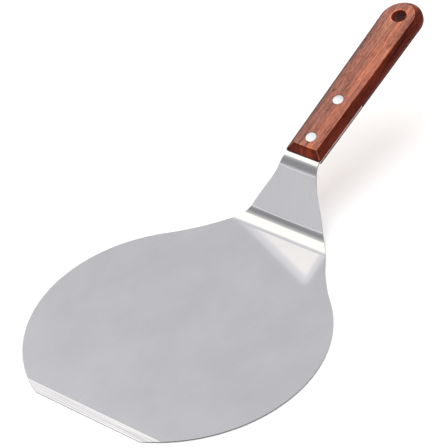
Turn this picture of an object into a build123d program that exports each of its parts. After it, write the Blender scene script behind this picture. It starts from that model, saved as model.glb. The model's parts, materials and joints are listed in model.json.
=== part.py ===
from build123d import *
from math import asin, cos, degrees, radians, sin, sqrt, tan
import os

# Pizza peel. A round stamped steel blade lies flat, with a straight bevelled front edge. Its neck
# narrows, rises steeply and bends back into a tang, which is riveted into a slotted wooden handle.
# Millimetres. +X runs from the blade to the handle, +Z is up, and the origin is the centre of the
# round blade on its underside.

# Steel sheet
sheet = 1.2
blade_radius = 114.5
front_cut = 10.8
bevel_width = 7.0
bevel_edge = 0.4
blend_angle = 42.9
neck_foot_x = 132.5
neck_rise = 49.1
neck_angle = 61.0
foot_bend_radius = 16.5
shoulder_slope = 46.0
shoulder_lead = 2.2
shoulder_lower_radius = 24.0
shoulder_upper_radius = 9.5
# Points on the left side of the neck seen from above, from the blade to the handle
neck_points = [(105, 58.5), (128, 42), (143.4, 28.4), (153, 19.3)]

# Handle, measured along its own length from its front end
handle_tilt = 17.0
handle_setback = 4.8
handle_length = 160.0
handle_half_thickness = 7.2
handle_rear_radius = 18.0
handle_taper = 0.8
handle_bevel = 5.4
hanging_hole_radius = 5.25
hanging_hole_chamfer = 2.5

# Tang and rivets
tang_length = 60.0
tang_front_half = 15.6
tang_rear_half = 16.6
tang_corner = 4.0
slot_gap = 0.8
rivet_stations = {"front": 14.3, "rear": 53.0}
rivet_head_radius = 4.5
rivet_head_depth = 1.5
rivet_crown = 0.3
barrel_radius = 2.8
barrel_depth = 9.2
socket_floor = 1.0
pin_radius = 1.8
pin_reach = 9.2
rivet_gap = 0.03

os.makedirs("parts", exist_ok=True)

# The sheet's middle surface turns at the foot of the neck and at its shoulder. The shoulder is a wide
# bend that runs into a tight one, with the shoulder slope between them.
shoulder_x = neck_foot_x + neck_rise / tan(radians(neck_angle))
shoulder_z = sheet / 2 + neck_rise
along = Vector(cos(radians(handle_tilt)), 0, sin(radians(handle_tilt)))
square = Vector(-sin(radians(handle_tilt)), 0, cos(radians(handle_tilt)))
shoulder = Vector(shoulder_x, 0, shoulder_z)
up_neck = Vector(cos(radians(neck_angle)), 0, sin(radians(neck_angle)))
turn_share = sin(radians(shoulder_slope - handle_tilt)) / sin(radians(neck_angle - shoulder_slope))
shoulder_lower = shoulder - up_neck * (shoulder_lead * turn_share)
shoulder_upper = shoulder + along * shoulder_lead
handle_front = shoulder + along * handle_setback
tang_end = handle_front + along * tang_length

# In this plane X runs along the handle, Y across it, and Z is square to its flat faces.
handle_plane = Plane(origin=handle_front, x_dir=along, z_dir=square)

# Blade, neck and tang: one bent sheet, cut to its outline seen from above
front_x = front_cut - blade_radius
front_half = sqrt(blade_radius**2 - front_x**2)
blend_x = blade_radius * cos(radians(blend_angle))
blend_y = blade_radius * sin(radians(blend_angle))

with BuildPart() as blade:
    with BuildSketch(Plane.XZ):
        with BuildLine():
            FilletPolyline(
                (front_x, sheet / 2),
                (neck_foot_x, sheet / 2),
                (shoulder_lower.X, shoulder_lower.Z),
                (shoulder_upper.X, shoulder_upper.Z),
                (tang_end.X, tang_end.Z),
                radius=[foot_bend_radius, shoulder_lower_radius, shoulder_upper_radius],
            )
        trace(line_width=sheet)
    extrude(amount=blade_radius, both=True)

    with BuildSketch(Plane.XY):
        with BuildLine():
            front = Line((front_x, 0), (front_x, front_half))
            ThreePointArc(front @ 1, (0, blade_radius), (blend_x, blend_y))
            neck = Spline(
                (blend_x, blend_y),
                *neck_points,
                (handle_front.X, tang_front_half),
                tangents=[(blend_y, -blend_x), (1, 0)],
            )
            side = Line(neck @ 1, (tang_end.X + sheet, tang_rear_half))
            Line(side @ 1, (tang_end.X + sheet, 0))
            mirror(about=Plane.XZ)
        make_face()
    extrude(amount=2 * shoulder_z, mode=Mode.INTERSECT)

    # Rounded rear corners of the tang
    tang_ends = blade.faces().sort_by(Axis(tang_end, along))[-1].edges()
    fillet(tang_ends.filter_by(lambda edge: edge.length < 2 * sheet), tang_corner)

    # Ground bevel on the top of the straight front edge
    with BuildSketch(Plane.XZ):
        with BuildLine():
            Polyline(
                (front_x - 1, bevel_edge),
                (front_x, bevel_edge),
                (front_x + bevel_width, sheet),
                (front_x + bevel_width, 2 * sheet),
                (front_x - 1, 2 * sheet),
                close=True,
            )
        make_face()
    extrude(amount=blade_radius, both=True, mode=Mode.SUBTRACT)

    with BuildSketch(handle_plane.offset(-sheet)):
        with Locations(*[(station, 0) for station in rivet_stations.values()]):
            Circle(barrel_radius + rivet_gap)
    extrude(amount=2 * sheet, mode=Mode.SUBTRACT)

blade.part.label = "blade"
export_step(blade.part, "parts/blade.step")

# Handle: one piece of hardwood, bevelled all round, sawn open for the tang
# Its sides widen by the taper angle until they run smoothly into the round rear end.
end_centre = handle_length - handle_rear_radius
taper_rise = handle_rear_radius * cos(radians(handle_taper))
taper_run = end_centre - handle_rear_radius * sin(radians(handle_taper))
handle_front_half = taper_rise - taper_run * tan(radians(handle_taper))

with BuildPart() as handle:
    with BuildSketch(handle_plane.offset(-handle_half_thickness)):
        with BuildLine():
            flank = Polyline((0, 0), (0, handle_front_half), (taper_run, taper_rise))
            JernArc(flank @ 1, flank % 1, handle_rear_radius, -90 - handle_taper)
            mirror(about=Plane.XZ)
        make_face()
    extrude(amount=2 * handle_half_thickness)
    flat_faces = handle.faces().sort_by(Axis(handle_plane.origin, handle_plane.z_dir))
    chamfer(flat_faces[-1].outer_wire().edges(), handle_bevel)
    flat_faces = handle.faces().sort_by(Axis(handle_plane.origin, handle_plane.z_dir))
    chamfer(flat_faces[0].outer_wire().edges(), handle_bevel)

    # Saw slot, open at the front and at both sides. The tang lies against its upper side.
    with BuildSketch(handle_plane.offset(-sheet / 2 - slot_gap)):
        with Locations(((tang_length + rivet_gap) / 2 - 1, 0)):
            Rectangle(tang_length + rivet_gap + 2, 3 * handle_rear_radius)
    extrude(amount=sheet + slot_gap, mode=Mode.SUBTRACT)

    # Rivet holes with counterbores from both faces
    for station in rivet_stations.values():
        with Locations(handle_plane.offset(handle_half_thickness) * Location((station, 0, 0))):
            CounterBoreHole(
                radius=barrel_radius + rivet_gap,
                counter_bore_radius=rivet_head_radius + rivet_gap,
                counter_bore_depth=rivet_head_depth,
                depth=2 * handle_half_thickness,
            )
        with BuildSketch(handle_plane.offset(-handle_half_thickness)):
            with Locations((station, 0)):
                Circle(rivet_head_radius + rivet_gap)
        extrude(amount=rivet_head_depth, mode=Mode.SUBTRACT)

    # Hanging hole with a broad chamfer on both faces
    with BuildSketch(handle_plane.offset(-handle_half_thickness)):
        with Locations((end_centre, 0)):
            Circle(hanging_hole_radius)
    extrude(amount=2 * handle_half_thickness, mode=Mode.SUBTRACT)
    hole_rims = handle.edges().filter_by(
        lambda edge: edge.geom_type == GeomType.CIRCLE
        and abs(edge.radius - hanging_hole_radius) < 0.001
    )
    chamfer(hole_rims, hanging_hole_chamfer)

handle.part.label = "handle"
export_step(handle.part, "parts/handle.step")


# Rivets: a hollow socket pressed in from the top, and a post pressed into it from below. Each half
# is turned about Z with its head up, then set in the handle at its station, the post upside down.
head_base = handle_half_thickness - rivet_head_depth
crown_radius = (rivet_head_radius**2 + rivet_crown**2) / (2 * rivet_crown)
crown_centre = handle_half_thickness + rivet_crown - crown_radius
crown_angle = degrees(asin(rivet_head_radius / crown_radius))


def rivet_half(station, turn, stem_points):
    """One rivet half, with its stem outlined from the axis out to the underside of its head."""
    with BuildPart() as half:
        with BuildSketch(Plane.XZ):
            with BuildLine():
                stem = Polyline(
                    *stem_points,
                    (rivet_head_radius, head_base),
                    (rivet_head_radius, handle_half_thickness),
                )
                crown = CenterArc((0, crown_centre), crown_radius, 90 - crown_angle, crown_angle)
                Line(crown @ 1, stem @ 0)
            make_face()
        revolve(axis=Axis.Z)
    return half.part.moved(handle_plane.location * Location((station, 0, 0), (turn, 0, 0)))


socket_stem = [
    (0, head_base - socket_floor),
    (pin_radius + rivet_gap, head_base - socket_floor),
    (pin_radius + rivet_gap, head_base - barrel_depth),
    (barrel_radius, head_base - barrel_depth),
    (barrel_radius, head_base),
]
post_stem = [
    (0, head_base - pin_reach),
    (pin_radius, head_base - pin_reach),
    (pin_radius, head_base),
]

for place, station in rivet_stations.items():
    socket = rivet_half(station, 0, socket_stem)
    socket.label = f"{place}_rivet_socket"
    export_step(socket, f"parts/{place}_rivet_socket.step")
    post = rivet_half(station, 180, post_stem)
    post.label = f"{place}_rivet_post"
    export_step(post, f"parts/{place}_rivet_post.step")

print("handle front", handle_front)
print("hanging hole", handle_front + along * end_centre)
print("handle axis", along, square)
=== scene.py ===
import json
import math

import bmesh
import bpy
from mathutils import Matrix, Vector


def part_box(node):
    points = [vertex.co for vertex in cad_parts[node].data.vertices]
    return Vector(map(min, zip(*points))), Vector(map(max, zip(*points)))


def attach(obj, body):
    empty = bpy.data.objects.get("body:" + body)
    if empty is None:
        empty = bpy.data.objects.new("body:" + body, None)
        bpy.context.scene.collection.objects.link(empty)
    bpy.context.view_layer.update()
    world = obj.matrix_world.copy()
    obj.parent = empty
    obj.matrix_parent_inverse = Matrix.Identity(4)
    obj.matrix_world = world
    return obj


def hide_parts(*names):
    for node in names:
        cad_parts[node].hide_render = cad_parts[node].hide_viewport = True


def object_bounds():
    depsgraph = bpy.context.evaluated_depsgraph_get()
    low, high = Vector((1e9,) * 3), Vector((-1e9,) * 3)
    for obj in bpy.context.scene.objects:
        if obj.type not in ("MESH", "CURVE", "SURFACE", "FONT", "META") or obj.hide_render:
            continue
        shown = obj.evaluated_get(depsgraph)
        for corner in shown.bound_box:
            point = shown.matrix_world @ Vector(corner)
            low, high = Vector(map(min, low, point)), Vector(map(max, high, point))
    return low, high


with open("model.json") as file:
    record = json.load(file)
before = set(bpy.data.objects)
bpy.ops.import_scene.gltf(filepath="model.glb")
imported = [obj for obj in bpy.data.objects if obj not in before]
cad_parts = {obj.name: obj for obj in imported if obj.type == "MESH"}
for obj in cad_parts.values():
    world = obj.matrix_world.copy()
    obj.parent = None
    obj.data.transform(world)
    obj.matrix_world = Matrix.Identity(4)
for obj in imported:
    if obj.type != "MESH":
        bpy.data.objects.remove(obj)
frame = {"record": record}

cad_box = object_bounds()

# ---------------------------------------------------------------------------------------------
# Driving dimensions, in metres. They repeat the design's own, and places come from the frame.
# ---------------------------------------------------------------------------------------------
MM = 0.001
SHEET = 1.2 * MM
BLADE_RADIUS = 114.5 * MM
FRONT_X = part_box("blade")[0].x
BEVEL_WIDTH = 7.0 * MM
BEVEL_END = FRONT_X + BEVEL_WIDTH
BEVEL_EDGE = 0.4 * MM
BLEND_ANGLE = math.radians(42.9)
NECK_FOOT_X = 132.5 * MM
NECK_RISE = 49.1 * MM
NECK_ANGLE = math.radians(61.0)
FOOT_RADIUS = 16.5 * MM
SHOULDER_SLOPE = math.radians(46.0)
SHOULDER_LEAD = 2.2 * MM
SHOULDER_LOWER_RADIUS = 24.0 * MM
SHOULDER_UPPER_RADIUS = 9.5 * MM
NECK_POINTS = [(x * MM, y * MM) for x, y in ((105, 58.5), (128, 42), (143.4, 28.4), (153, 19.3))]
HANDLE_SETBACK = 4.8 * MM
HANDLE_LENGTH = 160.0 * MM
HANDLE_HALF = 7.2 * MM
HANDLE_BEVEL = 5.4 * MM
HANDLE_TAPER = math.radians(0.8)
REAR_RADIUS = (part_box("handle")[1].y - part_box("handle")[0].y) / 2
TANG_LENGTH = 60.0 * MM
TANG_FRONT_HALF = 15.6 * MM
TANG_REAR_HALF = 16.6 * MM
SLOT_GAP = 0.8 * MM
RIVET_STATIONS = {"front": 14.3 * MM, "rear": 53.0 * MM}
RIVET_HEAD_RADIUS = 4.5 * MM
RIVET_HEAD_DEPTH = 1.5 * MM
RIVET_CROWN = 0.3 * MM
BARREL_RADIUS = 2.8 * MM
PIN_RADIUS = 1.8 * MM
STEM_REACH = 9.2 * MM
SOCKET_FLOOR = 1.0 * MM
RIVET_GAP = 0.03 * MM

# Details that only this mesh has: eased edges, and a wider ring round each rivet head
RIVET_RING = 0.28 * MM
RIVET_EASE = 0.3 * MM
SHEET_EASE = 0.32 * MM
SHEET_EASE_INSET = 1.3 * MM
WOOD_LOWER_EASE = 1.1 * MM
WOOD_UPPER_EASE = 1.6 * MM
WOOD_CORNER = 1.3 * MM
WOOD_CORNER_LEAST = 0.5 * MM
WOOD_CORNER_SHRINK = 0.15
MERGE_DISTANCE = 0.002 * MM

# The hanging hole's mount gives the handle's square direction and the hole's centre.
hole_mount = next(m for m in frame["record"]["mounts"] if m["name"] == "hanging_hole")
SQUARE = Vector(hole_mount["axis"]).normalized()
ALONG = Vector((SQUARE.z, 0, -SQUARE.x))
HOLE_CENTRE = Vector(hole_mount["pos_m"])
HOLE_RADIUS = hole_mount["dims"]["r_mm"] * MM
HOLE_CHAMFER = (2 * HANDLE_HALF - hole_mount["dims"]["length_mm"] * MM) / 2
END_CENTRE = HANDLE_LENGTH - REAR_RADIUS
HANDLE_FRONT = HOLE_CENTRE - ALONG * END_CENTRE
HANDLE_TILT = math.atan2(ALONG.z, ALONG.x)
SHOULDER_X = HANDLE_FRONT.x - ALONG.x * HANDLE_SETBACK
UP_NECK = Vector((math.cos(NECK_ANGLE), 0, math.sin(NECK_ANGLE)))


def handle_matrix():
    """From handle coordinates (along, across, square) to the frame."""
    across = SQUARE.cross(ALONG)
    turn = Matrix((ALONG, across, SQUARE)).transposed().to_4x4()
    return Matrix.Translation(HANDLE_FRONT) @ turn


def shoulder_corners():
    """The (x, z) corners of the shoulder's two bends, the wide lower one and the tight upper one."""
    share = math.sin(SHOULDER_SLOPE - HANDLE_TILT) / math.sin(NECK_ANGLE - SHOULDER_SLOPE)
    drop = SHOULDER_LEAD * share
    corner = (SHOULDER_X, SHEET / 2 + NECK_RISE)
    lower = (corner[0] - drop * math.cos(NECK_ANGLE), corner[1] - drop * math.sin(NECK_ANGLE))
    upper = (corner[0] + SHOULDER_LEAD * ALONG.x, corner[1] + SHOULDER_LEAD * ALONG.z)
    return lower, upper


# ---------------------------------------------------------------------------------------------
# Mesh helpers
# ---------------------------------------------------------------------------------------------
def add_object(name, bm):
    """A new object in the scene, made from a bmesh."""
    mesh = bpy.data.meshes.new(name)
    bm.to_mesh(mesh)
    bm.free()
    item = bpy.data.objects.new(name, mesh)
    bpy.context.scene.collection.objects.link(item)
    return item


def make_piece(name, bm, material, node):
    """Turns a bmesh into a piece that stands for a CAD node and rides on the one body."""
    bmesh.ops.recalc_face_normals(bm, faces=bm.faces)
    piece = add_object(name, bm)
    piece.data.materials.append(material)
    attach(piece, "root")
    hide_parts(node)
    return piece


def apply_modifier(piece, kind, **settings):
    """Adds one modifier and applies it."""
    modifier = piece.modifiers.new(kind.lower(), kind)
    for key, value in settings.items():
        setattr(modifier, key, value)
    with bpy.context.temp_override(object=piece, active_object=piece, selected_objects=[piece]):
        bpy.ops.object.modifier_apply(modifier=modifier.name)


def smooth_by_angle(mesh, degrees):
    """Smooth faces, with the edges that turn by more than an angle kept crisp."""
    limit = math.radians(degrees)
    bm = bmesh.new()
    bm.from_mesh(mesh)
    for face in bm.faces:
        face.smooth = True
    for edge in bm.edges:
        if len(edge.link_faces) == 2 and edge.calc_face_angle(0) > limit:
            edge.smooth = False
    bm.to_mesh(mesh)
    bm.free()


def clean(mesh):
    """Merges the near-coincident points that cutting leaves."""
    bm = bmesh.new()
    bm.from_mesh(mesh)
    bmesh.ops.remove_doubles(bm, verts=bm.verts, dist=MERGE_DISTANCE)
    bmesh.ops.dissolve_degenerate(bm, edges=bm.edges, dist=MERGE_DISTANCE)
    bm.to_mesh(mesh)
    bm.free()


def skin(bm, loops):
    """Joins loops of equally many points with quads, and closes both ends."""
    count = len(loops[0])
    for first, second in zip(loops, loops[1:]):
        for i in range(count):
            j = (i + 1) % count
            bm.faces.new((first[i], first[j], second[j], second[i]))
    bm.faces.new(loops[0])
    bm.faces.new(loops[-1])


def lathe(profile, matrix, segments=72):
    """A closed solid turned about Z from (radius, height) points that start and end on the axis."""
    bm = bmesh.new()
    rings = []
    for radius, height in profile:
        if radius == 0:
            rings.append([bm.verts.new(matrix @ Vector((0, 0, height)))])
            continue
        ring = []
        for i in range(segments):
            turn = 2 * math.pi * i / segments
            point = Vector((radius * math.cos(turn), radius * math.sin(turn), height))
            ring.append(bm.verts.new(matrix @ point))
        rings.append(ring)
    for first, second in zip(rings, rings[1:]):
        for i in range(segments):
            j = (i + 1) % segments
            corners = [first[i % len(first)], first[j % len(first)]]
            corners += [second[j % len(second)], second[i % len(second)]]
            corners = list(dict.fromkeys(corners))
            if len(corners) > 2:
                bm.faces.new(corners)
    return bm


def arc_points(centre, radius, start, stop, steps):
    """Points on an arc, with angles in degrees."""
    points = []
    for i in range(steps + 1):
        angle = math.radians(start + (stop - start) * i / steps)
        points.append((centre[0] + radius * math.cos(angle), centre[1] + radius * math.sin(angle)))
    return points


def up_and_down(profile):
    """A profile followed by its own mirror image below the middle plane."""
    return profile + [(radius, -height) for radius, height in reversed(profile)]


# ---------------------------------------------------------------------------------------------
# Node trees
# ---------------------------------------------------------------------------------------------
class Nodes:
    """A short way to build the node tree of a material or a world."""

    def __init__(self, owner, shader="Principled BSDF"):
        owner.use_nodes = True
        self.owner = owner
        self.tree = owner.node_tree
        self.shader = self.tree.nodes[shader]

    def add(self, kind, **settings):
        """A new node with its settings."""
        node = self.tree.nodes.new(kind)
        for key, value in settings.items():
            setattr(node, key, value)
        return node

    def join(self, source, target):
        self.tree.links.new(source, target)

    def coordinates(self, kind):
        """One output of the texture coordinates, such as Object or Normal."""
        return self.add("ShaderNodeTexCoord").outputs[kind]

    def place(self, rotation=(0, 0, 0), scale=(1, 1, 1)):
        """Object coordinates, turned and then divided by a scale in metres."""
        mapping = self.add("ShaderNodeMapping", vector_type="TEXTURE")
        mapping.inputs["Rotation"].default_value = rotation
        mapping.inputs["Scale"].default_value = scale
        self.join(self.coordinates("Object"), mapping.inputs["Vector"])
        return mapping.outputs["Vector"]

    def split(self, vector):
        """The x, y and z of a vector."""
        parts = self.add("ShaderNodeSeparateXYZ")
        self.join(vector, parts.inputs[0])
        return [parts.outputs[name] for name in "XYZ"]

    def dot(self, vector, direction):
        """How far a vector reaches in a direction."""
        product = self.add("ShaderNodeVectorMath", operation="DOT_PRODUCT")
        self.join(vector, product.inputs[0])
        product.inputs[1].default_value = direction
        return product.outputs["Value"]

    def noise(self, vector, detail=4.0, roughness=0.5, distortion=0.0):
        """Noise between 0 and 1 with features about one unit across."""
        noise = self.add("ShaderNodeTexNoise")
        noise.inputs["Scale"].default_value = 1.0
        noise.inputs["Detail"].default_value = detail
        noise.inputs["Roughness"].default_value = roughness
        noise.inputs["Distortion"].default_value = distortion
        self.join(vector, noise.inputs["Vector"])
        return noise.outputs["Fac"]

    def ramp(self, value, stops):
        """A colour that follows a value through (position, colour) stops."""
        ramp = self.add("ShaderNodeValToRGB")
        elements = ramp.color_ramp.elements
        while len(elements) < len(stops):
            elements.new(0.5)
        for element, (position, colour) in zip(elements, stops):
            element.position = position
            element.color = (*colour, 1)
        self.join(value, ramp.inputs["Fac"])
        return ramp.outputs["Color"]

    def spread(self, value, low, high, start=0.0, stop=1.0, curve="LINEAR"):
        """Goes from low, where the value is start, to high, where it is stop."""
        spread = self.add("ShaderNodeMapRange", interpolation_type=curve)
        spread.inputs["From Min"].default_value = start
        spread.inputs["From Max"].default_value = stop
        spread.inputs["To Min"].default_value = low
        spread.inputs["To Max"].default_value = high
        self.join(value, spread.inputs["Value"])
        return spread.outputs["Result"]

    def step(self, value, start, stop):
        """Goes smoothly from 0, where the value is start, to 1, where it is stop."""
        return self.spread(value, 0.0, 1.0, start, stop, "SMOOTHSTEP")

    def math(self, operation, *values):
        """The result of a Math node on sockets and numbers."""
        node = self.add("ShaderNodeMath", operation=operation)
        for socket, value in zip(node.inputs, values):
            if isinstance(value, (int, float)):
                socket.default_value = value
            else:
                self.join(value, socket)
        return node.outputs["Value"]

    def mix(self, factor, first, second, blend="MIX"):
        """The first colour blended with the second by a factor."""
        mix = self.add("ShaderNodeMix", data_type="RGBA", blend_type=blend)
        for socket, value in ((0, factor), (6, first), (7, second)):
            if isinstance(value, (int, float, tuple)):
                mix.inputs[socket].default_value = value
            else:
                self.join(value, mix.inputs[socket])
        return mix.outputs[2]

    def bump(self, height, strength, distance, normal=None):
        """The normal, bumped by a height."""
        bump = self.add("ShaderNodeBump")
        bump.inputs["Strength"].default_value = strength
        bump.inputs["Distance"].default_value = distance
        self.join(height, bump.inputs["Height"])
        if normal is not None:
            self.join(normal, bump.inputs["Normal"])
        return bump.outputs["Normal"]

    def set(self, **values):
        """Sets uniform values on the shader. Underscores stand for spaces."""
        for key, value in values.items():
            self.shader.inputs[key.replace("_", " ")].default_value = value

    def feed(self, **sockets):
        """Joins sockets to the shader. Underscores stand for spaces."""
        for key, socket in sockets.items():
            self.join(socket, self.shader.inputs[key.replace("_", " ")])


def new_material(name):
    return Nodes(bpy.data.materials.new(name))


# ---------------------------------------------------------------------------------------------
# Steel
# ---------------------------------------------------------------------------------------------
# Two thin painted highlight lines cross the neck, each just below the line where a bend ends or starts.
# Their bow is how far up the neck a point on such a line stands from its middle, over its distance
# squared.
GLINT_LINE_BELOW = 0.6 * MM
GLINT_LINE_HALF_WIDTH = 0.3 * MM
GLINT_LINE_LEAST_HEIGHT = 3 * MM
FOOT_GLINT_LINE_BOW = 0.9
TOP_GLINT_LINE_BOW = 2.6
GLINT_LINE_COLOUR = (0.97, 0.97, 0.97, 1)

# The swell beside the neck's foot fades in between two slanted lines toward the neck and two on the
# right, and out between two lines square across the sheet.
SWELL_START = (101 * MM, 119 * MM)
SWELL_START_SLANT = -0.4
SWELL_RIGHT = (-80 * MM, -67 * MM)
SWELL_RIGHT_SLANT = -0.24
SWELL_END = (123.8 * MM, 122.4 * MM)
SWELL_TILT = -0.19

# A painted highlight line along the bevel's inner edge.
BEVEL_GLINT_HALF_WIDTH = 0.3 * MM
BEVEL_GLINT_COLOUR = (1.0, 1.0, 1.0, 1)
# Painted shade on the cut edges that face sideways.
EDGE_SHADE_COLOUR = (0.16, 0.16, 0.17, 1)
EDGE_SHADE_FACING = (0.40, 0.15)


def glint_lines():
    """How far up the neck its two painted highlight lines lie at the middle, and how strongly each bows.
    """
    foot = NECK_FOOT_X * UP_NECK.x + SHEET / 2 * UP_NECK.z + FOOT_RADIUS * math.tan(NECK_ANGLE / 2)
    (x, z), _ = shoulder_corners()
    turn = NECK_ANGLE - SHOULDER_SLOPE
    top = x * UP_NECK.x + z * UP_NECK.z - SHOULDER_LOWER_RADIUS * math.tan(turn / 2)
    return (foot - GLINT_LINE_BELOW, FOOT_GLINT_LINE_BOW), (top - GLINT_LINE_BELOW, TOP_GLINT_LINE_BOW)


def glint_line(steel, height, bow):
    """1 on a thin painted highlight line across the neck at a height up its slope, bowed toward its ends,
    and 0 off it.
    """
    place = steel.place()
    _, y, z = steel.split(place)
    sag = steel.math("MULTIPLY", y, y)
    rise = steel.math("MULTIPLY_ADD", sag, -bow, steel.dot(place, UP_NECK))
    near = steel.math("COMPARE", rise, height, GLINT_LINE_HALF_WIDTH)
    above = steel.math("GREATER_THAN", z, GLINT_LINE_LEAST_HEIGHT)
    return steel.math("MULTIPLY", near, above)


def swell(steel):
    """The normal, tilted forward on the right where the sheet swells a little beside the neck's foot."""
    x, y, z = steel.split(steel.place())
    forward = steel.math("MULTIPLY_ADD", y, SWELL_START_SLANT, x)
    outward = steel.math("MULTIPLY_ADD", x, SWELL_RIGHT_SLANT, y)
    started = steel.step(forward, *SWELL_START)
    inside = steel.step(outward, *SWELL_RIGHT)
    mask = steel.math("MULTIPLY", started, inside)
    mask = steel.math("MULTIPLY", mask, steel.step(x, *SWELL_END))
    mask = steel.math("MULTIPLY", mask, steel.math("GREATER_THAN", z, SHEET / 2))
    tilt = steel.add("ShaderNodeCombineXYZ")
    steel.join(steel.math("MULTIPLY", mask, SWELL_TILT), tilt.inputs["X"])
    shape = steel.add("ShaderNodeNewGeometry")
    total = steel.add("ShaderNodeVectorMath", operation="ADD")
    steel.join(shape.outputs["Normal"], total.inputs[0])
    steel.join(tilt.outputs["Vector"], total.inputs[1])
    unit = steel.add("ShaderNodeVectorMath", operation="NORMALIZE")
    steel.join(total.outputs["Vector"], unit.inputs[0])
    return unit.outputs["Vector"]


def grinding_and_bevel_glint(steel, colour):
    """The colour with grinding lines along the front edge, on the bevel only, and a painted highlight
    line along the bevel's inner edge.
    """
    x, _, _ = steel.split(steel.place())
    on_bevel = steel.math("LESS_THAN", x, BEVEL_END)
    lines = steel.noise(steel.place(scale=(0.0009, 0.09, 0.02)), detail=3, roughness=0.6)
    marks = steel.ramp(lines, [(0.36, (0.84, 0.84, 0.84)), (0.62, (1.17, 1.17, 1.17))])
    lined = steel.mix(on_bevel, colour, steel.mix(1.0, colour, marks, "MULTIPLY"))
    # Painted highlight along the bevel's inner edge.
    bevel_glint = steel.math("COMPARE", x, BEVEL_END, BEVEL_GLINT_HALF_WIDTH)
    return steel.mix(bevel_glint, lined, BEVEL_GLINT_COLOUR)


def rim(steel):
    """1 on the cut edges of the blade and neck that face sideways, where painted shade darkens them; the
    tang in the handle is left out.
    """
    x, _, _ = steel.split(steel.place())
    _, _, facing_up = steel.split(steel.coordinates("Normal"))
    open_part = steel.math("LESS_THAN", x, HANDLE_FRONT.x)
    level = steel.math("ABSOLUTE", facing_up)
    return steel.math("MULTIPLY", open_part, steel.step(level, *EDGE_SHADE_FACING))


def steel_material():
    """Satin stainless sheet: a fine rolled grain, faint clouding and light handling marks."""
    steel = new_material("satin_steel")
    clouds = steel.noise(steel.place(scale=(0.05, 0.04, 0.05)), detail=3)
    grain = steel.noise(steel.place(scale=(0.02, 0.00025, 0.02)), detail=5, roughness=0.65)
    specks = steel.noise(steel.place(scale=(0.0012, 0.0008, 0.001)), detail=3)
    tint = steel.ramp(clouds, [(0.3, (0.74, 0.735, 0.755)), (0.7, (0.80, 0.795, 0.81))])
    fine = steel.ramp(grain, [(0.3, (0.93, 0.93, 0.93)), (0.7, (1.0, 1.0, 1.0))])
    colour = steel.mix(1.0, tint, fine, "MULTIPLY")
    # Painted highlight lines across the neck, just below where its bends end or start.
    for height, bow in glint_lines():
        colour = steel.mix(glint_line(steel, height, bow), colour, GLINT_LINE_COLOUR)
    # Painted shade on the sideways-facing cut edges, over the colour.
    steel.feed(Base_Color=steel.mix(rim(steel), grinding_and_bevel_glint(steel, colour), EDGE_SHADE_COLOUR))
    steel.feed(Roughness=steel.spread(steel.mix(0.45, clouds, grain), 0.11, 0.18))
    normal = steel.bump(grain, 0.05, 0.05 * MM, swell(steel))
    steel.feed(Normal=steel.bump(specks, 0.04, 0.04 * MM, normal))
    steel.set(Metallic=1.0)
    return steel.owner


# ---------------------------------------------------------------------------------------------
# Wood, rivet metal and floor
# ---------------------------------------------------------------------------------------------
# A painted highlight: a paler band along one side of the handle's faces.
HIGHLIGHT_BAND_WAVER = 10 * MM
HIGHLIGHT_BAND_SHIFT = 5 * MM
GLOSS_FACING = (0.75, 0.97)
GLOSS_FLAT = 0.98
GLOSS_SIDES = 0.13


def wood_body(wood, figure, streaks, pores):
    """The wood's own colour: its figure, darkened by growth streaks, open pores and broad patches."""
    patches = wood.noise(wood.place((0, -HANDLE_TILT, 0), (0.03, 0.02, 0.02)), detail=2)
    body = wood.ramp(
        figure,
        [
            (0.28, (0.150, 0.038, 0.024)),
            (0.45, (0.270, 0.078, 0.046)),
            (0.60, (0.350, 0.110, 0.060)),
            (0.78, (0.480, 0.175, 0.082)),
        ],
    )
    lines = wood.ramp(streaks, [(0.34, (0.42, 0.38, 0.38)), (0.58, (1.10, 1.08, 1.06))])
    dashes = wood.ramp(pores, [(0.34, (0.30, 0.24, 0.24)), (0.50, (1.08, 1.06, 1.04))])
    shade = wood.ramp(patches, [(0.3, (0.80, 0.76, 0.76)), (0.7, (1.08, 1.05, 1.02))])
    colour = wood.mix(0.95, body, lines, "MULTIPLY")
    colour = wood.mix(0.95, colour, dashes, "MULTIPLY")
    return wood.mix(1.0, colour, shade, "MULTIPLY")


def highlight_band(wood, figure):
    """Shades with a painted highlight, a paler band along one side of the handle, wavering with the
    figure.
    """
    _, across, _ = wood.split(wood.place())
    waver = wood.math("MULTIPLY_ADD", figure, HIGHLIGHT_BAND_WAVER, across)
    spot = wood.spread(waver, 0.0, 1.0, HIGHLIGHT_BAND_SHIFT - REAR_RADIUS, HIGHLIGHT_BAND_SHIFT + REAR_RADIUS)
    return wood.ramp(
        spot,
        [
            (0.18, (0.85, 0.80, 0.78)),
            (0.29, (1.75, 1.70, 1.35)),
            (0.38, (2.10, 2.10, 1.60)),
            (0.46, (1.30, 1.24, 1.12)),
            (0.60, (1.15, 1.20, 1.20)),
            (0.95, (1.15, 1.20, 1.25)),
        ],
    )


def side_shade_and_edge_highlight(wood, level):
    """Painted shade on the bevels and sides, and a painted highlight on the edges between them and the
    flat faces.
    """
    return wood.ramp(
        level,
        [
            (0.00, (0.44, 0.28, 0.30)),
            (0.74, (0.42, 0.23, 0.21)),
            (0.86, (2.10, 2.20, 2.10)),
            (0.96, (1.30, 1.22, 1.10)),
            (0.995, (1.0, 1.0, 1.0)),
        ],
    )


def wood_gloss(wood, level, streaks, pores):
    """A sheen on the flat faces, broken by the pores and streaks."""
    filled = wood.math("MULTIPLY", wood.step(pores, 0.30, 0.50), wood.spread(streaks, 0.55, 1.25))
    gloss = wood.math("MULTIPLY", wood.step(level, *GLOSS_FACING), filled)
    return wood.math("MULTIPLY_ADD", gloss, GLOSS_FLAT, GLOSS_SIDES)


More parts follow.
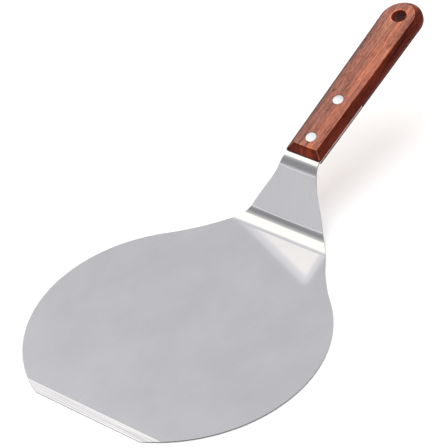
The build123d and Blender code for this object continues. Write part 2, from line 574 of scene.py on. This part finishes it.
def wood_material():
    """Oiled reddish hardwood: long figure, growth streaks, open pores, a painted highlight band, painted
    shade on the bevels and painted highlights on the edges.
    """
    wood = new_material("oiled_hardwood")
    lie = (0, -HANDLE_TILT, 0)
    figure = wood.noise(wood.place(lie, (0.09, 0.0065, 0.008)), detail=5, distortion=0.6)
    streaks = wood.noise(wood.place(lie, (0.05, 0.0011, 0.0014)), detail=6, roughness=0.6)
    pores = wood.noise(wood.place(lie, (0.0045, 0.00028, 0.00028)), detail=2)
    level = wood.math("ABSOLUTE", wood.dot(wood.coordinates("Normal"), SQUARE))
    colour = wood_body(wood, figure, streaks, pores)
    # Painted highlight band along one side of the handle.
    colour = wood.mix(1.0, colour, highlight_band(wood, figure), "MULTIPLY")
    # Painted shade on the bevels and sides, and painted highlights on the edges between faces.
    wood.feed(Base_Color=wood.mix(1.0, colour, side_shade_and_edge_highlight(wood, level), "MULTIPLY"))
    wood.feed(Roughness=wood.spread(wood.mix(0.5, streaks, pores), 0.62, 0.36))
    normal = wood.bump(streaks, 0.18, 0.12 * MM)
    wood.feed(Normal=wood.bump(pores, 0.35, 0.10 * MM, normal))
    wood.feed(Specular_IOR_Level=wood_gloss(wood, level, streaks, pores))
    return wood.owner


def rivet_material():
    """Bright soft metal, with fine turning scuffs and a little roughness variation."""
    rivet = new_material("bright_rivet")
    scuffs = rivet.noise(rivet.place(scale=(0.0016, 0.0003, 0.0016)), detail=4, roughness=0.6)
    mottles = rivet.noise(rivet.place(scale=(0.003, 0.003, 0.003)), detail=3)
    tint = rivet.ramp(mottles, [(0.3, (0.68, 0.71, 0.77)), (0.7, (0.80, 0.82, 0.86))])
    rivet.feed(Base_Color=tint)
    rivet.feed(Roughness=rivet.spread(rivet.mix(0.5, scuffs, mottles), 0.24, 0.40))
    rivet.feed(Normal=rivet.bump(scuffs, 0.06, 0.04 * MM))
    rivet.set(Metallic=1.0)
    return rivet.owner


def floor_material():
    """Plain pale studio floor."""
    floor = new_material("studio_floor")
    floor.set(Base_Color=(0.96, 0.955, 0.95, 1), Roughness=0.9, Specular_IOR_Level=0.1)
    return floor.owner


# ---------------------------------------------------------------------------------------------
# Blade: one bent sheet with eased edges
# ---------------------------------------------------------------------------------------------
STATION_SPACING = 1.6 * MM
BEND_STEP = 2
BEND_LEAST_STEPS = 12
CROSS_STEPS = 14
EASE_ANGLES = (22, 45, 67, 90)


def straight(start, stop, slope):
    """Evenly spaced stations along a straight run, without its last point."""
    length = math.hypot(stop[0] - start[0], stop[1] - start[1])
    steps = max(2, round(length / STATION_SPACING))
    return [
        (start[0] + (stop[0] - start[0]) * i / steps, start[1] + (stop[1] - start[1]) * i / steps, slope)
        for i in range(steps)
    ]


def neck_path():
    """The sheet's middle line from the front edge to the tang's end, as (x, z, slope) stations."""
    lower, upper = shoulder_corners()
    turns = [
        (NECK_FOOT_X, SHEET / 2, 0, NECK_ANGLE, FOOT_RADIUS),
        (*lower, NECK_ANGLE, SHOULDER_SLOPE, SHOULDER_LOWER_RADIUS),
        (*upper, SHOULDER_SLOPE, HANDLE_TILT, SHOULDER_UPPER_RADIUS),
    ]
    stations = straight((FRONT_X, SHEET / 2), (BEVEL_END, SHEET / 2), 0)
    x, z = BEVEL_END, SHEET / 2
    for corner_x, corner_z, slope_in, slope_out, radius in turns:
        turn = abs(slope_out - slope_in)
        reach = radius * math.tan(turn / 2)
        start = (corner_x - reach * math.cos(slope_in), corner_z - reach * math.sin(slope_in))
        stations += straight((x, z), start, slope_in)
        side = 1 if slope_out > slope_in else -1
        centre_x = start[0] - side * radius * math.sin(slope_in)
        centre_z = start[1] + side * radius * math.cos(slope_in)
        steps = max(BEND_LEAST_STEPS, round(math.degrees(turn) / BEND_STEP))
        for i in range(steps):
            slope = slope_in + (slope_out - slope_in) * i / steps
            x = centre_x + side * radius * math.sin(slope)
            z = centre_z - side * radius * math.cos(slope)
            stations.append((x, z, slope))
        x = centre_x + side * radius * math.sin(slope_out)
        z = centre_z - side * radius * math.cos(slope_out)
    tang_end = HANDLE_FRONT + ALONG * TANG_LENGTH
    stations += straight((x, z), (tang_end.x, tang_end.z), HANDLE_TILT)
    stations.append((tang_end.x, tang_end.z, HANDLE_TILT))
    return stations


def neck_curve():
    """The concave side of the neck seen from above, as knots on a smooth curve and its slopes there."""
    blend = (BLADE_RADIUS * math.cos(BLEND_ANGLE), BLADE_RADIUS * math.sin(BLEND_ANGLE))
    knots = [blend, *NECK_POINTS, (HANDLE_FRONT.x, TANG_FRONT_HALF)]
    slopes = [-blend[0] / blend[1]]
    for before, here, after in zip(knots, knots[1:], knots[2:]):
        left = (here[1] - before[1]) / (here[0] - before[0])
        right = (after[1] - here[1]) / (after[0] - here[0])
        weight = (after[0] - here[0]) / (after[0] - before[0])
        slopes.append(left * weight + right * (1 - weight))
    slopes.append(0.0)
    return knots, slopes


def half_width(x, curve):
    """Half the sheet's width at x: on the round blade, along the neck's curve, or in the tang."""
    knots, slopes = curve
    if x <= knots[0][0]:
        return math.sqrt(max(BLADE_RADIUS**2 - x * x, 0))
    if x >= knots[-1][0]:
        run = (x - knots[-1][0]) / (ALONG.x * TANG_LENGTH)
        return TANG_FRONT_HALF + (TANG_REAR_HALF - TANG_FRONT_HALF) * run
    i = max(k for k in range(len(knots) - 1) if x >= knots[k][0])
    (x0, y0), (x1, y1) = knots[i], knots[i + 1]
    span = x1 - x0
    t = (x - x0) / span
    return (
        (2 * t**3 - 3 * t**2 + 1) * y0
        + (t**3 - 2 * t**2 + t) * span * slopes[i]
        + (3 * t**2 - 2 * t**3) * y1
        + (t**3 - t**2) * span * slopes[i + 1]
    )


def sheet_section(half, top, bottom):
    """(across, height) points round the sheet, with its edges eased by less where it is thinner."""
    thin = (top - bottom) / SHEET
    flat = half - SHEET_EASE_INSET
    side = [(flat * (i / CROSS_STEPS), 0.0) for i in range(CROSS_STEPS + 1)]
    side.append((half - SHEET_EASE, 0.0))
    for angle in EASE_ANGLES:
        turn = math.radians(angle)
        inset = SHEET_EASE * (1 - math.sin(turn))
        side.append((half - inset, SHEET_EASE * (1 - math.cos(turn)) * thin))
    upper = [(y, top - drop) for y, drop in side]
    lower = [(y, bottom + drop) for y, drop in side]
    left = upper + lower[::-1]
    right = [(-y, height) for y, height in lower[1:] + upper[:0:-1]]
    return left + right


def build_blade(material):
    """Loops across the sheet at each station, joined into one closed skin."""
    curve = neck_curve()
    bm = bmesh.new()
    loops = []
    for x, z, slope in neck_path():
        up = Vector((-math.sin(slope), 0, math.cos(slope)))
        middle = Vector((x, 0, z))
        bevel = max(0.0, 1 - (x - FRONT_X) / BEVEL_WIDTH) * (SHEET - BEVEL_EDGE)
        section = sheet_section(half_width(x, curve), SHEET / 2 - bevel, -SHEET / 2)
        loops.append([bm.verts.new(middle + up * h + Vector((0, y, 0))) for y, h in section])
    skin(bm, loops)
    blade = make_piece("bent_blade", bm, material, "blade")

    # Edges stay crisp only at the front edge and its bevel.
    smooth_by_angle(blade.data, degrees=5.5)
    for edge in blade.data.edges:
        middle = sum((blade.data.vertices[v].co for v in edge.vertices), Vector()) / 2
        if middle.x > BEVEL_END + 2 * MM:
            edge.use_edge_sharp = False
    apply_modifier(blade, "WEIGHTED_NORMAL", weight=80, keep_sharp=True)


# ---------------------------------------------------------------------------------------------
# Handle: one bevelled block, sawn and drilled
# ---------------------------------------------------------------------------------------------
FRONT_STEPS = 6
CORNER_STEPS = 6
SIDE_STEPS = 40
REAR_STEPS = 40
HOLE_SEGMENTS = 96
HOLE_BRIM = 0.15 * MM
LOWEST_RING = 0.9 * MM
CUT_BEYOND = 3 * MM
SLOT_LEAD = 5 * MM


def handle_outline(inset):
    """The handle's outline pulled in by a distance, as points round from its front middle."""
    rear = REAR_RADIUS - inset
    run_end = END_CENTRE - rear * math.sin(HANDLE_TAPER)
    rise_end = rear * math.cos(HANDLE_TAPER)
    corner = max(WOOD_CORNER - WOOD_CORNER_SHRINK * inset, WOOD_CORNER_LEAST)
    front_rise = rise_end - (run_end - inset) * math.tan(HANDLE_TAPER)
    points = [(inset, (front_rise - corner) * i / FRONT_STEPS) for i in range(FRONT_STEPS)]
    points += arc_points((inset + corner, front_rise - corner), corner, 180, 90, CORNER_STEPS)
    start = points[-1]
    for i in range(1, SIDE_STEPS):
        share = i / SIDE_STEPS
        points.append((start[0] + (run_end - start[0]) * share, start[1] + (rise_end - start[1]) * share))
    points += arc_points((END_CENTRE, 0), rear, 90 + math.degrees(HANDLE_TAPER), 0, REAR_STEPS)
    mirrored = [(x, -y) for x, y in reversed(points[1:-1])]
    return points + mirrored


def handle_rings():
    """(inset, height) of each ring, from just above the middle of the side up to the flat top."""
    # Each eased edge turns through 45 degrees, so it starts this far from its corner per unit radius.
    reach = math.tan(math.radians(22.5))
    side_top = HANDLE_HALF - HANDLE_BEVEL
    lower_start = side_top - WOOD_LOWER_EASE * reach
    rings = [(0.0, LOWEST_RING), (0.0, lower_start)]
    for angle in (11, 22, 34, 45):
        turn = math.radians(angle)
        inset = WOOD_LOWER_EASE * (1 - math.cos(turn))
        rings.append((inset, lower_start + WOOD_LOWER_EASE * math.sin(turn)))
    back = WOOD_UPPER_EASE * reach
    eighth = math.pi / 4
    rings.append((HANDLE_BEVEL - back * math.cos(eighth), HANDLE_HALF - back * math.sin(eighth)))
    centre = (HANDLE_BEVEL + back, HANDLE_HALF - WOOD_UPPER_EASE)
    for angle in (56, 67, 79, 90):
        turn = math.radians(angle)
        inset = centre[0] - WOOD_UPPER_EASE * math.cos(turn)
        rings.append((inset, centre[1] + WOOD_UPPER_EASE * math.sin(turn)))
    return rings


def hole_cutter(matrix):
    """The hanging hole, with a rounded flare and a narrow brim at both faces."""
    flare = []
    for angle in range(72, -1, -9):
        turn = math.radians(angle)
        radius = HOLE_RADIUS + HOLE_CHAMFER * (1 - math.cos(turn))
        flare.append((radius, HANDLE_HALF - HOLE_CHAMFER * (1 - math.sin(turn))))
    beyond = HANDLE_HALF + CUT_BEYOND
    brim = flare[0][0] + HOLE_BRIM
    profile = [(0, beyond), (brim + HOLE_BRIM, beyond), (brim, HANDLE_HALF)] + flare
    return lathe(up_and_down(profile), matrix @ Matrix.Translation((END_CENTRE, 0, 0)), HOLE_SEGMENTS)


def rivet_cutter(matrix, station):
    """One rivet hole, with a counterbore for the head at both faces."""
    beyond = HANDLE_HALF + CUT_BEYOND
    floor = HANDLE_HALF - RIVET_HEAD_DEPTH
    head = RIVET_HEAD_RADIUS + RIVET_RING
    profile = [(0, -beyond), (head, -beyond), (head, -floor), (BARREL_RADIUS + RIVET_GAP, -floor)]
    return lathe(up_and_down(profile), matrix @ Matrix.Translation((station, 0, 0)))


def slot_cutter(matrix):
    """The saw slot, open at the front and both sides, with its spare width below the tang."""
    bm = bmesh.new()
    bmesh.ops.create_cube(bm, size=1)
    length = TANG_LENGTH + RIVET_GAP + SLOT_LEAD
    place = Matrix.Translation((length / 2 - SLOT_LEAD, 0, -SLOT_GAP / 2))
    place = place @ Matrix.Diagonal((length, 3 * REAR_RADIUS, SHEET + SLOT_GAP, 1))
    bmesh.ops.transform(bm, matrix=matrix @ place, verts=bm.verts)
    return bm


def build_handle(material):
    """Rings up the handle's side, joined into a block and then cut."""
    matrix = handle_matrix()
    upper = handle_rings()
    stack = [(inset, -height) for inset, height in reversed(upper)] + upper
    bm = bmesh.new()
    loops = []
    for inset, height in stack:
        loops.append([bm.verts.new((x, y, height)) for x, y in handle_outline(inset)])
    skin(bm, loops)
    bmesh.ops.transform(bm, matrix=matrix, verts=bm.verts)
    handle = make_piece("hardwood_handle", bm, material, "handle")

    # The order matters: in another one the boolean left a plug in the hanging hole.
    cutters = [hole_cutter(matrix)]
    for place in ("rear", "front"):
        cutters.append(rivet_cutter(matrix, RIVET_STATIONS[place]))
    cutters.append(slot_cutter(matrix))
    for cutter in cutters:
        bmesh.ops.recalc_face_normals(cutter, faces=cutter.faces)
        tool = add_object("cutter", cutter)
        apply_modifier(handle, "BOOLEAN", object=tool, operation="DIFFERENCE", solver="EXACT")
        bpy.data.meshes.remove(tool.data)
    clean(handle.data)
    smooth_by_angle(handle.data, degrees=28)
    apply_modifier(handle, "WEIGHTED_NORMAL", weight=90, keep_sharp=True)


# ---------------------------------------------------------------------------------------------
# Rivets
# ---------------------------------------------------------------------------------------------
CROWN_STEPS = 8
RIM_STEPS = 5
RIM_START = 72


def head_profile():
    """The crowned head from the axis out and down to its underside, with an eased rim."""
    crown = (RIVET_HEAD_RADIUS**2 + RIVET_CROWN**2) / (2 * RIVET_CROWN)
    flat = RIVET_HEAD_RADIUS - RIVET_EASE
    points = []
    for i in range(CROWN_STEPS + 1):
        radius = flat * i / CROWN_STEPS
        fall = crown - math.sqrt(crown * crown - radius * radius)
        points.append((radius, HANDLE_HALF + RIVET_CROWN - fall))
    top = points[-1][1]
    rounding = arc_points((0, 0), RIVET_EASE, RIM_START, 0, RIM_STEPS)
    points += [(flat + x, top - RIVET_EASE + y) for x, y in rounding]
    points.append((RIVET_HEAD_RADIUS, HANDLE_HALF - RIVET_HEAD_DEPTH))
    return points


def build_rivets(material):
    """A hollow socket from above and a solid post from below at each station."""
    base = HANDLE_HALF - RIVET_HEAD_DEPTH
    bore = PIN_RADIUS + RIVET_GAP
    socket_stem = [
        (BARREL_RADIUS, base),
        (BARREL_RADIUS, base - STEM_REACH),
        (bore, base - STEM_REACH),
        (bore, base - SOCKET_FLOOR),
        (0, base - SOCKET_FLOOR),
    ]
    post_stem = [(PIN_RADIUS, base), (PIN_RADIUS, base - STEM_REACH), (0, base - STEM_REACH)]
    for place, station in RIVET_STATIONS.items():
        seat = handle_matrix() @ Matrix.Translation((station, 0, 0))
        turned = seat @ Matrix.Rotation(math.pi, 4, "X")
        for kind, stem, matrix in (("socket", socket_stem, seat), ("post", post_stem, turned)):
            node = f"{place}_rivet_{kind}"
            bm = lathe(head_profile() + stem, matrix)
            rivet = make_piece(f"{node}_turned", bm, material, node)
            smooth_by_angle(rivet.data, degrees=30)


# ---------------------------------------------------------------------------------------------
# Studio: floor, light, surroundings, camera
# ---------------------------------------------------------------------------------------------
FLOOR_HALF_SIZE = 12.0
FLOOR_GAP = 0.2 * MM
ROOM_NEAR = 0.36
ROOM_FAR = 0.67
ROOM_GLOW = 0.22
ROOM_WHITE = 0.60
ROOM_DARK = -0.34
ROOM_LOW = 0.05
COOL_TINT = (1.0, 0.995, 1.02, 1)
WARM_TINT = (1.0, 0.96, 0.87, 1)


def build_floor(material):
    """A wide flat floor just below the object."""
    bm = bmesh.new()
    bmesh.ops.create_grid(bm, x_segments=2, y_segments=2, size=FLOOR_HALF_SIZE)
    floor = add_object("studio_floor", bm)
    floor.location.z = cad_box[0].z - FLOOR_GAP
    floor.data.materials.append(material)


def softbox(name, direction, distance, size, power, target):
    """A square soft light that faces the target from a direction, and that metal doesn't mirror."""
    light = bpy.data.lights.new(name, "AREA")
    light.shape = "SQUARE"
    light.size = size
    light.energy = power
    lamp = bpy.data.objects.new(name, light)
    direction = Vector(direction).normalized()
    lamp.location = target + direction * distance
    lamp.rotation_euler = direction.to_track_quat("Z", "Y").to_euler()
    lamp.visible_glossy = False
    bpy.context.scene.collection.objects.link(lamp)


def build_world():
    """Studio surroundings for the steel to mirror: a room brighter on its far side, a glow with a warm
    white heart overhead on the left, a faint patch low in front and a dark one above that."""
    world = bpy.data.worlds.new("studio")
    bpy.context.scene.world = world
    sky = Nodes(world, "Background")
    view = sky.coordinates("Generated")

    def patch(direction, inner, outer, low, high):
        """Goes smoothly from low to high between two angles, in degrees, from a direction."""
        toward = sky.dot(view, Vector(direction).normalized())
        start = math.cos(math.radians(outer))
        stop = math.cos(math.radians(inner))
        return sky.spread(toward, low, high, start, stop, "SMOOTHSTEP")

    warmth = patch((-0.08, 0.53, 0.85), 18, 26, 0, 1)
    strength = patch((0, 1, 0), 80, 112, ROOM_NEAR, ROOM_FAR)
    for part in (
        patch((-0.10, 0.53, 0.84), 30, 38, 0, ROOM_GLOW),
        sky.math("MULTIPLY", warmth, ROOM_WHITE),
        patch((-0.86, 0.50, 0.05), 9, 15, 0, ROOM_LOW),
        patch((-0.66, 0.53, 0.51), 14, 19, 0, ROOM_DARK),
    ):
        strength = sky.math("ADD", strength, part)
    sky.feed(Strength=strength, Color=sky.mix(warmth, COOL_TINT, WARM_TINT))


def build_camera(target, azimuth, elevation, roll, distance, lens):
    """A long-lens camera placed from the object, with its roll."""
    back = Vector(
        (
            -math.cos(elevation) * math.cos(azimuth),
            -math.cos(elevation) * math.sin(azimuth),
            math.sin(elevation),
        )
    )
    level = (-back).cross(Vector((0, 0, 1))).normalized()
    down = (-back).cross(level)
    right = math.cos(roll) * level + math.sin(roll) * down
    drop = -math.sin(roll) * level + math.cos(roll) * down
    data = bpy.data.cameras.new("camera")
    data.sensor_width = 36.0
    data.lens = lens
    camera = bpy.data.objects.new("camera", data)
    turn = Matrix((right, -drop, back)).transposed().to_4x4()
    camera.matrix_world = Matrix.Translation(target + back * distance) @ turn
    bpy.context.scene.collection.objects.link(camera)
    bpy.context.scene.camera = camera


build_blade(steel_material())
build_handle(wood_material())
build_rivets(rivet_material())

build_floor(floor_material())
build_world()
softbox(
    "overhead",
    direction=(0.0, -0.25, 0.97),
    distance=2.5,
    size=3.0,
    power=60,
    target=(cad_box[0] + cad_box[1]) / 2,
)
build_camera(
    target=Vector((0.1161, 0.0463, 0.0)),
    azimuth=math.radians(42.7),
    elevation=math.radians(39.01),
    roll=math.radians(8.0),
    distance=1.784,
    lens=185.8,
)
bpy.context.scene.view_settings.view_transform = "Standard"
